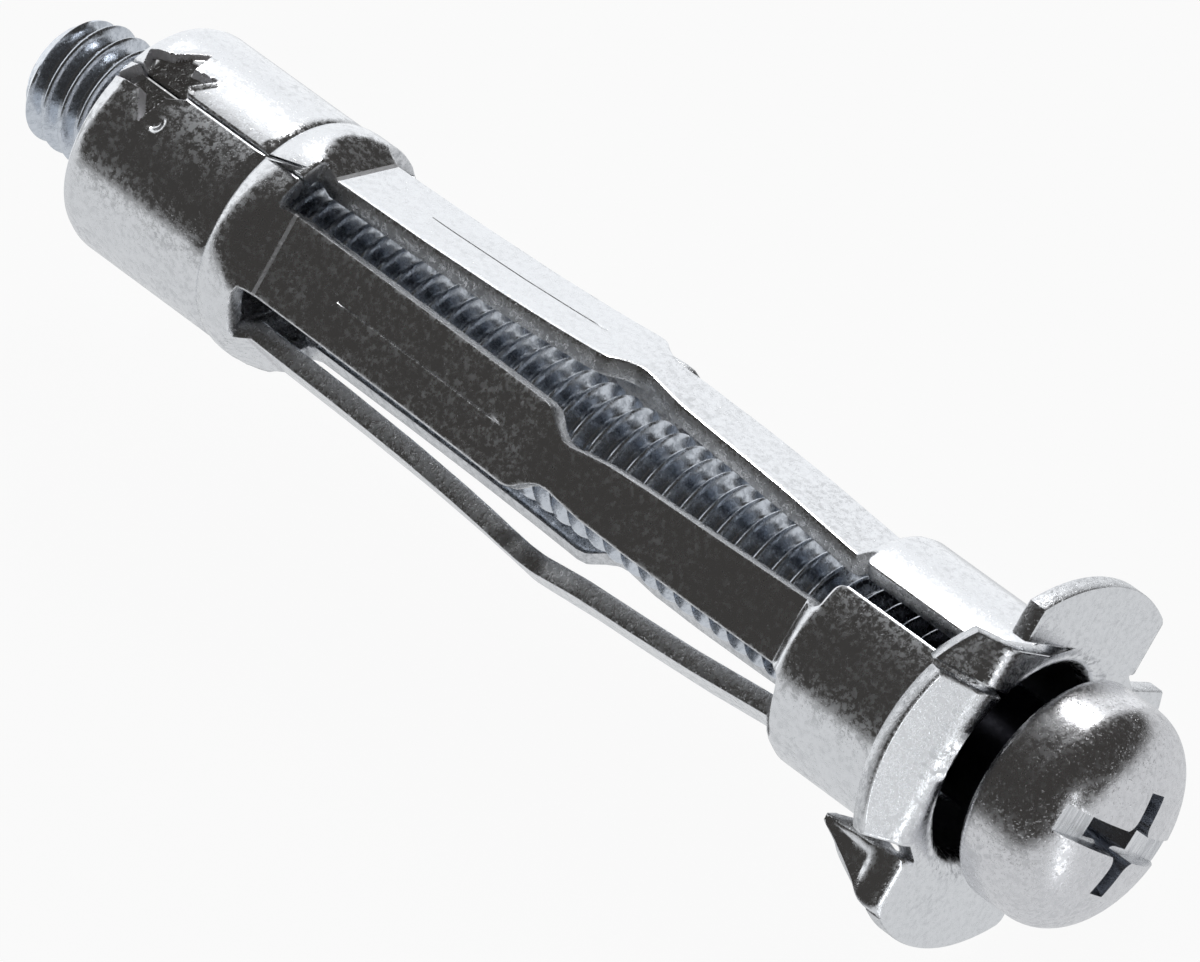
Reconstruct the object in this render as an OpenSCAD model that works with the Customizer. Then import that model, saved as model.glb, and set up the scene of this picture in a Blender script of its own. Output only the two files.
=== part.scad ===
// Hollow wall anchor: a folded sheet-steel sleeve, the round nut in its tail and the pan-head screw
// that closes it. Lengths are in millimetres. The axis runs along X, with the screw's head at +X.
// X = 0 is the wall's face, which the back of the flange rests on. Directions round the axis are
// degrees from +Y towards +Z.

/* [Sleeve] */
// Length of the sleeve from the front of its flange to the end of its tail collar
sleeve_length = 50; // [46:0.5:56]
// Thickness of the sheet
sheet = 0.9; // [0.7:0.05:1]
// Outer radius of the neck that fills the hole in the wall
neck_radius = 5.34; // [5.2:0.02:5.6]
// Length of the neck behind the wall's face
neck_length = 7.6; // [6:0.1:9]
// Growth of the neck's radius towards the flange
neck_flare = 0.03; // [0.02:0.01:0.08]
// Radius of the hole that the closed anchor passes through
hole_radius = 5.5; // [5.4:0.05:5.8]

/* [Legs] */
// Number of legs
leg_count = 5; // [4:1:5]
// Direction of the first leg
leg_direction = 135; // [130:1:140]
// Half-width of a leg between the shoulder and the knee
leg_half_width = 1.92; // [1.6:0.02:2]
// Half-width of a leg between the knee and the neck
slim_half_width = 1.42; // [1.2:0.02:1.6]
// Half-width of a leg at the notch in its knee
notch_half_width = 1.02; // [0.8:0.02:1.15]
// Distance of the knee from the front of the flange
knee_distance = 22.4; // [20:0.2:26]
// Height of a leg's outer face above the axis where it leaves the shoulder
shoulder_height = 4.55; // [4.4:0.01:4.7]
// Height of a leg's outer face above the axis at the knee
knee_height = 5.34; // [5.1:0.02:5.4]
// Height of a leg's outer face above the axis where it meets the neck
neck_height = 4.44; // [4.3:0.02:4.6]
// Length of the scored line along a leg's outer face
score_length = 9.6; // [6:0.1:11]
// Width of the scored line
score_width = 0.24; // [0.16:0.02:0.4]
// Depth of the scored line
score_depth = 0.1; // [0.06:0.01:0.16]

/* [Tail collar] */
// Length of the tail collar from the shoulder's groove to its end
collar_length = 8.25; // [7.5:0.05:9]
// Length of the shoulder from the groove to the crease at the root of the legs
shoulder_length = 2.7; // [2.4:0.05:3.2]
// Largest radius of the shoulder
shoulder_radius = 5.42; // [5.35:0.01:5.5]
// Depth of the groove between the collar and the shoulder
groove_depth = 0.12; // [0.08:0.01:0.2]
// Radius of the rounded end of the collar
collar_round = 0.5; // [0.3:0.05:0.7]

/* [Crimp] */
// Number of star crimps round the collar
crimp_count = 2; // [1:1:2]
// Distance of the crimps' middle from the end of the collar
crimp_from_end = 1.95; // [1.8:0.05:2.6]
// Radius from the middle of a star crimp to its points
crimp_radius = 1.9; // [1.5:0.1:2.1]
// Depth of a crimp
crimp_depth = 0.32; // [0.2:0.02:0.4]

/* [Seam] */
// Direction of the seam where the sheet's edges meet
seam_direction = 95; // [93:0.5:99]
// Width of the open seam through the neck
neck_seam = 1.2; // [0.8:0.1:1.6]
// Width of the closed seam through the flange and the collar
tight_seam = 0.22; // [0.15:0.01:0.35]

/* [Flange] */
// Radius of the flange's unbroken ring
ring_radius = 6.3; // [6:0.1:6.5]
// Outer radius of the two wings
wing_radius = 8.35; // [8:0.05:9]
// Half-width of the wings
wing_half_width = 4.85; // [4.6:0.05:5]
// Outer radius of the two petals between the wings, measured along the sheet
petal_radius = 8.3; // [8:0.05:8.8]
// Width of a petal on the side of a claw, from its middle line
petal_width = 4.22; // [4:0.02:4.3]
// Width of a petal on its other side, from its middle line
petal_wide_width = 4.95; // [4.5:0.05:5.2]
// Angle by which the split petal is bent back
petal_bend = 25; // [10:1:30]
// Angle by which the narrow tab beside it is bent back
tab_bend = 44; // [20:1:46]
// Distance of the bends from the axis
bend_distance = 5.2; // [5.2:0.1:6]
// Width of the slits between the petals and the wings
slit_width = 0.36; // [0.3:0.02:0.42]
// Distance from the axis at which the tab's slit starts
slit_root = 5.65; // [5.55:0.05:6]
// Rounding of the flange's mouth
mouth_round = 0.6; // [0.3:0.05:0.6]

/* [Claws] */
// Reach of a claw's point behind the wall's face
claw_reach = 3.2; // [2.5:0.1:3.6]
// Distance of a claw's straight edge from the middle line between the petals
claw_edge = 4.65; // [4.5:0.05:4.8]
// Distance of a claw's point from the middle line between the petals
claw_point = 5; // [4.8:0.05:5.4]

/* [Nut] */
// Length of the nut
nut_length = 5.6; // [5:0.1:6]
// Gap between the nut and the collar
nut_gap = 0.05; // [0.03:0.01:0.08]
// Gap between the nut's thread and the screw's
thread_gap = 0.05; // [0.02:0.01:0.1]

/* [Screw] */
// Outer radius of the thread
thread_radius = 2.92; // [2.85:0.01:3]
// Length of the screw under its head
screw_length = 56.4; // [53:0.1:64]
// Length of the chamfer at the screw's tip
tip_chamfer = 0.6; // [0.4:0.05:1]
// Gap between the head and the flange before the screw is driven home
head_gap = 1.1; // [0.5:0.1:2]
// Radius of the head
head_radius = 5; // [4.8:0.1:5.6]
// Height of the head
head_height = 4.8; // [4.2:0.1:5.2]
// Height of the head's straight side
head_side = 1.9; // [1.2:0.1:2.2]
// Rounding under the head's rim
head_round = 0.6; // [0.3:0.05:0.8]

/* [Recess] */
// Direction of the slot across the head
slot_direction = 130; // [0:1:179]
// Width of the slot
slot_width = 1.25; // [1:0.05:1.4]
// Depth of the slot
slot_depth = 1.15; // [0.8:0.05:1.5]
// Length of the cross recess's arms from the axis
cross_reach = 3.1; // [2.8:0.1:3.4]
// Width of the cross recess's arms
cross_width = 1.1; // [0.9:0.05:1.2]
// Depth of the cross recess
cross_depth = 2.9; // [2.4:0.1:3.2]

/* [Hidden] */

$fn = 96;
reach = 20;               // past every edge of the part, for cuts
facet_length = 1.65;      // from the shoulder's full radius to the crease, along the axis
slot_past_crease = 0.75;  // how far the slots between the legs run on past the crease
neck_chamfer = 0.25;
nut_chamfer = 0.2;
bend_soft = 0.15;         // either side of the petals' bend
dome_power = 2.4;         // 2 gives an ellipse, more a flatter top with a tighter edge
leg_pitch = 360 / leg_count;

// Along the axis
sleeve_front = sheet;
collar_end = sleeve_front - sleeve_length;
groove_at = collar_end + collar_length;
crease_at = groove_at + shoulder_length;
slot_tail = crease_at - slot_past_crease;
apex_at = crease_at - facet_length;
knee_at = sleeve_front - knee_distance;
score_at = crease_at + 4;
slot_head = -neck_length - neck_chamfer;
flare_at = -claw_reach - 0.1;

// Across it
neck_inner = neck_radius - sheet;
nut_radius = neck_inner - nut_gap;
mouth_edge = neck_inner + mouth_round;
lip_round = (sheet - collar_round) * 0.7;  // leaves a flat strip between the collar end's two roundings
crimp_at = collar_end + crimp_from_end;
nut_start = crimp_at - 1.3;
crimp_floor = neck_radius - crimp_depth;

head_base = sleeve_front + head_gap;
head_top = head_base + head_height;
screw_end = head_base - screw_length;
petal_side = seam_direction - leg_direction;
seam_edge = neck_radius * sin(petal_side + asin(neck_seam / 2 / neck_radius));
seam_line = seam_edge - 0.03;  // the flange's seam opens just inside the neck's

// Draws its children, made along Z, along the part's X axis.
module along_axis() { rotate([0, 90, 0]) children(); }

// Turns the children's X axis to a direction round the part's axis.
module facing(direction) { rotate([0, 0, direction + 90]) children(); }

// Points of an arc about a centre.
function arc(centre, radius, from, to, steps = 6) =
    [for (i = [0 : steps]) let (a = from + (to - from) * i / steps) centre + radius * [cos(a), sin(a)]];

// A plate whose side view lies in X and Z, as wide as asked across Y.
module side_view(points, width) {
    rotate([90, 0, 0]) linear_extrude(width, center = true) polygon(points);
}

// Side view of a leg as [height, place] points, lowered by the sheet for its inner face.
function leg_face(drop) =
    let (root = slot_head + 0.1)
    [
        [shoulder_radius - 0.02 - drop, apex_at],
        [shoulder_height - drop, crease_at - 0.2 * drop / sheet],
        [shoulder_height + 0.12 - drop, crease_at + 5],
        [shoulder_height + 0.45 - drop, knee_at - 4.4],
        [knee_height - 0.12 - drop, knee_at - 1.2 - 0.1 * drop],
        [knee_height - drop, knee_at - 0.5],
        [knee_height - 0.02 - drop, knee_at + 0.5],
        [knee_height - 0.14 - drop, knee_at + 1.4 + 0.1 * drop],
        [knee_height - 0.36 - drop, knee_at + 6],
        [neck_height + 0.22 - drop, root - 2.8],
        [neck_height - drop, root - 0.4 + 0.3 * drop],
        [neck_height + 0.3 - drop, root + 0.2 + 0.4 * drop],
        [neck_radius - drop, root + 0.5 + 0.5 * drop],
    ];

function reversed(points) = [for (i = [len(points) - 1 : -1 : 0]) points[i]];

// Height of a leg's outer face at a place along it.
function leg_top(place) = lookup(place, [for (p = leg_face(0)) [p.y, p.x]]);

// Plan of a leg as [half-width, place] points along one of its edges.
function leg_edge() = [
    [leg_half_width, apex_at - 0.3],
    [leg_half_width, knee_at - 1.2],
    [leg_half_width - 0.15, knee_at - 0.9],
    [slim_half_width - 0.15, knee_at - 0.45],
    [notch_half_width, knee_at + 0.15],
    [slim_half_width - 0.2, knee_at + 1.1],
    [slim_half_width, knee_at + 3],
    [slim_half_width, slot_head - 1.2],
    [slim_half_width + 0.6, slot_head + 0.3],
    [slim_half_width + 0.6, slot_head + 1],
];

module leg() {
    intersection() {
        side_view(concat(leg_face(0), reversed(leg_face(sheet))), 2 * reach);
        rotate([90, 0, 90]) linear_extrude(reach)
            polygon(concat(leg_edge(), reversed([for (p = leg_edge()) [-p.x, p.y]])));
        translate([0, 0, collar_end]) cylinder(r = hole_radius, h = sleeve_length);
    }
}

// The line scored along the middle of a leg between the shoulder and the knee.
module score() {
    places = [score_at, crease_at + 5, knee_at - 4.4, score_at + score_length];
    side_view(concat(
        [for (place = places) [leg_top(place) - score_depth, place]],
        [[reach, score_at + score_length], [reach, score_at]]), score_width);
}

module collar() {
    rotate_extrude() polygon(concat(
        [[neck_inner, slot_tail]],
        arc([neck_inner + lip_round, collar_end + lip_round], lip_round, 180, 270, 4),
        arc([neck_radius - collar_round, collar_end + collar_round], collar_round, 270, 360),
        [
            [neck_radius, groove_at - 0.35],
            [neck_radius - groove_depth, groove_at - 0.1],
            [neck_radius - groove_depth, groove_at],
            [neck_radius + 0.06, groove_at + 0.3],
            [shoulder_radius, slot_tail - 0.5],
            [shoulder_radius, slot_tail],
        ]));
}

// What lies above the facet that slopes from the shoulder to a leg's crease.
module above_facet() {
    side_view([
        [shoulder_radius, apex_at], [shoulder_height, crease_at], [shoulder_height, crease_at + 1],
        [reach, crease_at + 1], [reach, apex_at],
    ], 2 * (shoulder_radius * tan(leg_pitch / 2)));
}

module neck() {
    rotate_extrude() polygon(concat(
        [[neck_inner, slot_head], [neck_radius - neck_chamfer, slot_head], [neck_radius, -neck_length]],
        [[neck_radius, flare_at], [neck_radius + neck_flare, 0], [ring_radius, 0], [ring_radius, sheet]],
        arc([mouth_edge, sheet - mouth_round], mouth_round, 90, 180)));
}

// Flat plan of the two wings: the petals' middle line is X, the wings' is Y.
module wing_plan() {
    difference() {
        intersection() {
            circle(wing_radius);
            square([2 * wing_half_width, 2 * reach], center = true);
        }
        circle(ring_radius - 0.1);
    }
}

module petal_plan(radius, from, to) {
    difference() {
        intersection() {
            circle(radius);
            translate([0, from]) square([reach, to - from]);
        }
        circle(mouth_edge);
    }
}

// A petal from one distance off the flange's middle line to another, bent back past the bend's line.
module bent_petal(bend, from, to) {
    bent_length = petal_radius - bend_distance;
    tip = [bend_distance, sheet] + bent_length * [cos(bend), -sin(bend)];
    back = [bend_distance - sheet * tan(bend / 2), 0];
    intersection() {
        side_view([
            [0, sheet], [bend_distance - bend_soft, sheet],
            [bend_distance + bend_soft, sheet - bend_soft * tan(bend)], tip,
            tip - sheet * [sin(bend), cos(bend)], back, [0, 0],
        ], 2 * reach);
        translate([0, 0, -reach]) linear_extrude(2 * reach) petal_plan(tip.x, from, to);
    }
}

// Slits that part the petals from the wings outside the ring.
module slits() {
    for (turn = [0, 180]) rotate([0, 0, turn]) translate([0, 0, -sheet]) linear_extrude(3 * sheet) {
        difference() {
            translate([0, petal_width]) square([reach, slit_width]);
            circle(ring_radius - 0.05);
        }
        difference() {
            translate([0, -petal_wide_width - slit_width]) square([reach, slit_width]);
            circle(slit_root);
        }
    }
}

// A claw, bent down from the wing's edge towards the wall.
module claw() {
    translate([wing_half_width - sheet, 0, 0]) rotate([90, 0, 90]) linear_extrude(sheet) polygon([
        [claw_edge, sheet * 0.6], [claw_edge, 0.5 - claw_reach / 2], [claw_point, -claw_reach],
        [claw_point + 1, 1.1 - claw_reach], [claw_point + 1.7, 2.4 - claw_reach],
        [claw_point + 2.05, 0], [claw_point + 1.75, sheet * 0.6],
    ]);
}

// A five-pointed star, one point along its X axis.
module star(radius) {
    polygon([for (i = [0 : 9]) (i % 2 == 0 ? radius : radius * 0.5) * [cos(i * 36), sin(i * 36)]]);
}

// A star crimp: a shallow star pressed into the collar.
module crimp_cut() {
    for (i = [0 : crimp_count - 1]) facing(seam_direction + i * 360 / crimp_count) difference() {
        translate([0, 0, crimp_at]) rotate([0, 90, 0]) linear_extrude(reach) star(crimp_radius);
        translate([0, 0, collar_end - 1]) cylinder(r = crimp_floor, h = collar_length);
    }
}

// The seam: open through the neck, closed through the flange and the collar.
module seam_cut() {
    facing(seam_direction) {
        translate([0, -neck_seam / 2, slot_head - 1]) cube([neck_radius + 0.4, neck_seam, 1 - slot_head]);
        translate([0, -tight_seam / 2, collar_end - 1]) cube([reach, tight_seam, slot_tail - collar_end + 2]);
    }
    facing(leg_direction) translate([0, seam_line - tight_seam, slot_head + 1])
        cube([reach, tight_seam, reach]);
}

module expansion_sleeve() {
    color("silver") along_axis() difference() {
        union() {
            difference() {
                collar();
                for (i = [0 : leg_count - 1]) facing(leg_direction + i * leg_pitch) above_facet();
            }
            for (i = [0 : leg_count - 1]) facing(leg_direction + i * leg_pitch) leg();
            difference() {
                neck();
                facing(leg_direction) translate([bend_distance - bend_soft, -petal_wide_width, 0])
                    cube([reach, petal_width + petal_wide_width, reach]);
            }
            facing(leg_direction) {
                linear_extrude(sheet) wing_plan();
                bent_petal(petal_bend, seam_line - tight_seam / 2, petal_width);
                bent_petal(tab_bend, -petal_wide_width, seam_line - tight_seam / 2);
                rotate([0, 0, 180]) bent_petal(0, -petal_wide_width, petal_width);
                for (turn = [0, 180]) rotate([0, 0, turn]) claw();
            }
        }
        for (i = [0 : leg_count - 1]) facing(leg_direction + i * leg_pitch) score();
        facing(leg_direction) slits();
        crimp_cut();
        seam_cut();
    }
}

module threaded_nut() {
    groove = crimp_depth + nut_gap;
    color("lightgray") along_axis() rotate_extrude() polygon([
        [thread_radius + thread_gap, nut_start], [nut_radius - nut_chamfer, nut_start],
        [nut_radius, nut_start + nut_chamfer], [nut_radius, crimp_at - 0.8],
        [nut_radius - groove, crimp_at - 0.5], [nut_radius - groove, crimp_at + 0.5],
        [nut_radius, crimp_at + 0.8], [nut_radius, nut_start + nut_length - nut_chamfer],
        [nut_radius - nut_chamfer, nut_start + nut_length],
        [thread_radius + thread_gap, nut_start + nut_length],
    ]);
}

// The head's domed top: a curve from its straight side to its flat middle.
function dome(steps) =
    let (height = head_height - head_side, side_top = head_base + head_side)
    [for (i = [0 : steps]) let (a = 90 * i / steps)
        [head_radius * pow(cos(a), 2 / dome_power), side_top + height * pow(sin(a), 2 / dome_power)]];

module recess() {
    translate([0, 0, head_top - slot_depth])
        translate([-head_radius, -slot_width / 2, 0]) cube([2 * head_radius, slot_width, head_height]);
    for (turn = [0, 90]) rotate([0, 0, turn]) side_view([
        [-cross_reach, head_top + 1], [cross_reach, head_top + 1], [cross_reach - 0.3, head_top - slot_depth],
        [0.9, head_top - cross_depth], [-0.9, head_top - cross_depth],
        [0.3 - cross_reach, head_top - slot_depth],
    ], cross_width);
}

module machine_screw() {
    color("gainsboro") along_axis() difference() {
        rotate_extrude() polygon(concat(
            [[0, screw_end], [thread_radius - tip_chamfer, screw_end]],
            [[thread_radius, screw_end + tip_chamfer], [thread_radius, head_base]],
            arc([head_radius - head_round, head_base + head_round], head_round, 270, 360),
            dome(10)));
        facing(slot_direction) recess();
    }
}

expansion_sleeve();
threaded_nut();
machine_screw();
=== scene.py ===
import math
import bpy
from mathutils import Matrix, Vector


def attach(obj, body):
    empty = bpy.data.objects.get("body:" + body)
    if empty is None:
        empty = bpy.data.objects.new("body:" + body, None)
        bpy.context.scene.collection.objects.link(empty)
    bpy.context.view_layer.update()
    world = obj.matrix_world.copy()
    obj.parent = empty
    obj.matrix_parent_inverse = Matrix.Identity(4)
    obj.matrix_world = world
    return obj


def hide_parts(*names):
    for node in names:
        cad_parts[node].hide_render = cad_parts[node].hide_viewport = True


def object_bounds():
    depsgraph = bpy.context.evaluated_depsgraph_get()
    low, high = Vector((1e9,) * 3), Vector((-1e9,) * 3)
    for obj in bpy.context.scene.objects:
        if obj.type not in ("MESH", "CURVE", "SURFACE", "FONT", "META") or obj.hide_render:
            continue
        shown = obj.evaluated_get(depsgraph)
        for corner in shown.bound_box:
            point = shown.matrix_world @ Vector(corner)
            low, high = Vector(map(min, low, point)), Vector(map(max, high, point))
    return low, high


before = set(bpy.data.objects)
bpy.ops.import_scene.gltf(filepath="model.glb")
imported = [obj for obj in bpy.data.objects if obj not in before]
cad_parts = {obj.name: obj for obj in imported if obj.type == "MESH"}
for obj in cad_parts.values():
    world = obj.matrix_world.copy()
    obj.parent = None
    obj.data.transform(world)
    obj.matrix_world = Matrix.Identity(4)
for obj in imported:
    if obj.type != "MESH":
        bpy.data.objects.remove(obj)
cadBox = [list(corner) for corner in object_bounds()]

mm = 0.001
bpy.context.scene.view_settings.view_transform = "Standard"


def mixed(a, b, t):
    return a + (b - a) * t


def eased(low, high, x):
    t = min(max((x - low) / (high - low), 0), 1)
    return t * t * (3 - 2 * t)


def steps(start, end, count):
    return [mixed(start, end, i / count) for i in range(count)]


def along(points, x):  # a value read between (place, value) points
    if x <= points[0][0]:
        return points[0][1]
    for (x0, v0), (x1, v1) in zip(points, points[1:]):
        if x <= x1:
            return mixed(v0, v1, (x - x0) / (x1 - x0))
    return points[-1][1]


def deselectAll():
    bpy.ops.object.select_all(action="DESELECT")


def makeOnly(obj):
    deselectAll()
    obj.select_set(True)
    bpy.context.view_layer.objects.active = obj


def applied(obj, kind, name, **settings):  # adds a modifier, sets it and applies it
    makeOnly(obj)
    modifier = obj.modifiers.new(name, kind)
    for key, value in settings.items():
        setattr(modifier, key, value)
    bpy.ops.object.modifier_apply(modifier=modifier.name)


def turnOutwards(obj, merge=0):  # merges points nearer than this, in mm, then faces all outwards
    makeOnly(obj)
    bpy.ops.object.mode_set(mode="EDIT")
    bpy.ops.mesh.select_all(action="SELECT")
    if merge:
        bpy.ops.mesh.remove_doubles(threshold=merge * mm)
    bpy.ops.mesh.normals_make_consistent(inside=False)
    bpy.ops.object.mode_set(mode="OBJECT")


def deselectFaces(obj):  # so that faces can then be selected by their place
    makeOnly(obj)
    bpy.ops.object.mode_set(mode="EDIT")
    bpy.ops.mesh.select_mode(type="FACE")
    bpy.ops.mesh.select_all(action="DESELECT")
    bpy.ops.object.mode_set(mode="OBJECT")


def finished(obj, slotName, body, *nodes, smooth=38):
    makeOnly(obj)
    bpy.ops.object.transform_apply(location=True, rotation=True, scale=True)
    bpy.ops.object.shade_smooth_by_angle(angle=math.radians(smooth))
    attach(obj, body)
    if nodes:
        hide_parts(*nodes)
    deselectAll()
    print("piece ready:", obj.name, len(obj.data.polygons), "faces")


cameraSet = {
    "aim": (-22.68, -0.14, -1.04),  # mm, a point on the view's middle line
    "distance": 500,
    "azimuth": -42.29,
    "elevation": 47.77,
    "roll": -2.98,
    "lens": 373.0,
    "sensor": 36,
}


def addCamera():
    azimuth = math.radians(cameraSet["azimuth"])
    elevation = math.radians(cameraSet["elevation"])
    outward = Vector((math.cos(elevation) * math.cos(azimuth),
                      math.cos(elevation) * math.sin(azimuth),
                      math.sin(elevation)))
    eye = (Vector(cameraSet["aim"]) + outward * cameraSet["distance"]) * mm
    bpy.ops.object.camera_add()
    camera = bpy.context.object
    camera.name = "camera"
    turned = outward.to_track_quat("Z", "Y").to_matrix().to_4x4()
    roll = Matrix.Rotation(math.radians(cameraSet["roll"]), 4, "Z")
    camera.matrix_world = Matrix.Translation(eye) @ turned @ roll
    camera.data.lens = cameraSet["lens"]
    camera.data.sensor_width = cameraSet["sensor"]
    bpy.context.scene.camera = camera


def newNode(tree, kind, **settings):
    made = tree.nodes.new(kind)
    for key, value in settings.items():
        setattr(made, key, value)
    return made


floorSet = {
    "size": 1.4,
    "drop": 0.02,  # mm below the part's lowest point
    "colour": (0.86, 0.86, 0.86, 1),
    "glow": 1.0,
    "share": 0.94,  # how much of what the camera sees is glow, and the rest paper with the shadow
}


def addFloor():  # pale to the camera; reflections see through it, to the room below the horizon
    deselectAll()
    bpy.ops.mesh.primitive_plane_add(size=floorSet["size"],
                                     location=(0, 0, cadBox[0][2] - floorSet["drop"] * mm))
    floor = bpy.context.object
    floor.name = "floor"
    material = bpy.data.materials.new("paleFloor")
    material.use_nodes = True
    tree = material.node_tree
    tree.nodes.clear()
    path = newNode(tree, "ShaderNodeLightPath")
    paper = newNode(tree, "ShaderNodeBsdfDiffuse")
    paper.inputs["Color"].default_value = floorSet["colour"]
    glow = newNode(tree, "ShaderNodeEmission")
    glow.inputs["Strength"].default_value = floorSet["glow"]
    share = newNode(tree, "ShaderNodeMath", operation="MULTIPLY")
    share.inputs[1].default_value = floorSet["share"]
    tree.links.new(path.outputs["Is Camera Ray"], share.inputs[0])
    blend = newNode(tree, "ShaderNodeMixShader")
    tree.links.new(share.outputs[0], blend.inputs["Fac"])
    tree.links.new(paper.outputs[0], blend.inputs[1])
    tree.links.new(glow.outputs[0], blend.inputs[2])
    clear = newNode(tree, "ShaderNodeBsdfTransparent")
    seenThrough = newNode(tree, "ShaderNodeMixShader")
    tree.links.new(path.outputs["Is Glossy Ray"], seenThrough.inputs["Fac"])
    tree.links.new(blend.outputs[0], seenThrough.inputs[1])
    tree.links.new(clear.outputs[0], seenThrough.inputs[2])
    end = newNode(tree, "ShaderNodeOutputMaterial")
    tree.links.new(seenThrough.outputs[0], end.inputs["Surface"])
    floor.data.materials.append(material)


studio = {
    "dark": 0.05,  # the unlit upper half of the room
    "darkTint": (1, 0.95, 0.9, 1),
    "litTint": (0.96, 0.98, 1, 1),
    "table": 0.68,  # the white table below the horizon
    "tableEdge": (0.04, -0.1),  # heights of direction at which the white table starts and is full
    "tent": 1.02,  # a lit sheet behind the tail
    "tentTowards": (-0.9, 0.42, 0.09),
    "tentEdge": (0.62, 0.7),
    "strip": 3.0,  # a bright strip from low to high in front of the head
    "stripAcross": (0.17, 0.985, 0),  # square to the strip's plane
    "stripWidth": (0.05, 0.03),
    "stripFoot": (-0.72, -0.6),
    "stripHead": (0.52, 0.4),
    "stripSide": (0, 0.2),  # keeps it to the head's side of the room
}


def ranged(tree, source, edges, level):  # a smooth step between two values of its source
    step = newNode(tree, "ShaderNodeMapRange", interpolation_type="SMOOTHSTEP")
    step.inputs["From Min"].default_value = edges[0]
    step.inputs["From Max"].default_value = edges[1]
    step.inputs["To Max"].default_value = level
    tree.links.new(source, step.inputs["Value"])
    return step.outputs[0]


def combined(tree, operation, first, second):
    node = newNode(tree, "ShaderNodeMath", operation=operation)
    for socket, value in zip(node.inputs, (first, second)):
        if isinstance(value, (int, float)):
            socket.default_value = value
        else:
            tree.links.new(value, socket)
    return node.outputs[0]


def towards(tree, source, direction):
    node = newNode(tree, "ShaderNodeVectorMath", operation="DOT_PRODUCT")
    node.inputs[1].default_value = direction
    tree.links.new(source, node.inputs[0])
    return node.outputs["Value"]


def addWorld():
    world = bpy.data.worlds.new("studio")
    bpy.context.scene.world = world
    world.use_nodes = True
    tree = world.node_tree
    tree.nodes.clear()
    place = newNode(tree, "ShaderNodeTexCoord").outputs["Generated"]
    height = towards(tree, place, (0, 0, 1))
    table = ranged(tree, height, studio["tableEdge"], studio["table"])
    facing = towards(tree, place, studio["tentTowards"])
    tent = ranged(tree, facing, studio["tentEdge"], studio["tent"])
    across = combined(tree, "ABSOLUTE", towards(tree, place, studio["stripAcross"]), 0)
    strip = ranged(tree, across, studio["stripWidth"], studio["strip"])
    for edges in (studio["stripFoot"], studio["stripHead"]):
        strip = combined(tree, "MULTIPLY", strip, ranged(tree, height, edges, 1))
    side = ranged(tree, towards(tree, place, (1, 0, 0)), studio["stripSide"], 1)
    strip = combined(tree, "MULTIPLY", strip, side)
    lit = combined(tree, "MAXIMUM", combined(tree, "MAXIMUM", table, tent), strip)
    warm = newNode(tree, "ShaderNodeBackground")
    warm.inputs["Color"].default_value = studio["darkTint"]
    warm.inputs["Strength"].default_value = studio["dark"]
    inside = newNode(tree, "ShaderNodeBackground")
    inside.inputs["Color"].default_value = studio["litTint"]
    tree.links.new(lit, inside.inputs["Strength"])
    room = newNode(tree, "ShaderNodeAddShader")
    tree.links.new(warm.outputs[0], room.inputs[0])
    tree.links.new(inside.outputs[0], room.inputs[1])
    white = newNode(tree, "ShaderNodeBackground")
    white.inputs["Color"].default_value = (1, 1, 1, 1)
    white.inputs["Strength"].default_value = 1.0
    path = newNode(tree, "ShaderNodeLightPath")
    blend = newNode(tree, "ShaderNodeMixShader")
    seen = combined(tree, "MAXIMUM", path.outputs["Is Camera Ray"], path.outputs["Is Transmission Ray"])
    tree.links.new(seen, blend.inputs["Fac"])
    tree.links.new(room.outputs[0], blend.inputs[1])
    tree.links.new(white.outputs[0], blend.inputs[2])
    end = newNode(tree, "ShaderNodeOutputWorld")
    tree.links.new(blend.outputs[0], end.inputs["Surface"])


lamps = {
    "overhead": {"from": (-0.2, 0.28, 0.3), "aim": (-0.02, 0, 0), "size": (0.08, 0.08), "power": 0.3},
}


def addLamps():
    for name, lamp in lamps.items():
        spot = Vector(lamp["from"])
        bpy.ops.object.light_add(type="AREA", location=spot)
        light = bpy.context.object
        light.name = name
        light.data.shape = "RECTANGLE"
        light.data.size, light.data.size_y = lamp["size"]
        light.data.energy = lamp["power"]
        light.rotation_euler = (spot - Vector(lamp["aim"])).to_track_quat("Z", "Y").to_euler()


addCamera()
addFloor()
addWorld()
addLamps()
print("stage ready")


plating = {
    "noises": {  # scale, detail and roughness of each
        "mottle": (3300, 5, 0.75),
        "fleck": (8200, 2, 0.6),
        "cloud": (420, 3, 0.5),
    },
    "mottleRange": (0.36, 0.66),
    "fleckRange": (0.6, 0.72),
    "leastDull": 0.35,  # how rough a mottled spot is where the clouds are thin
}


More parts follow.
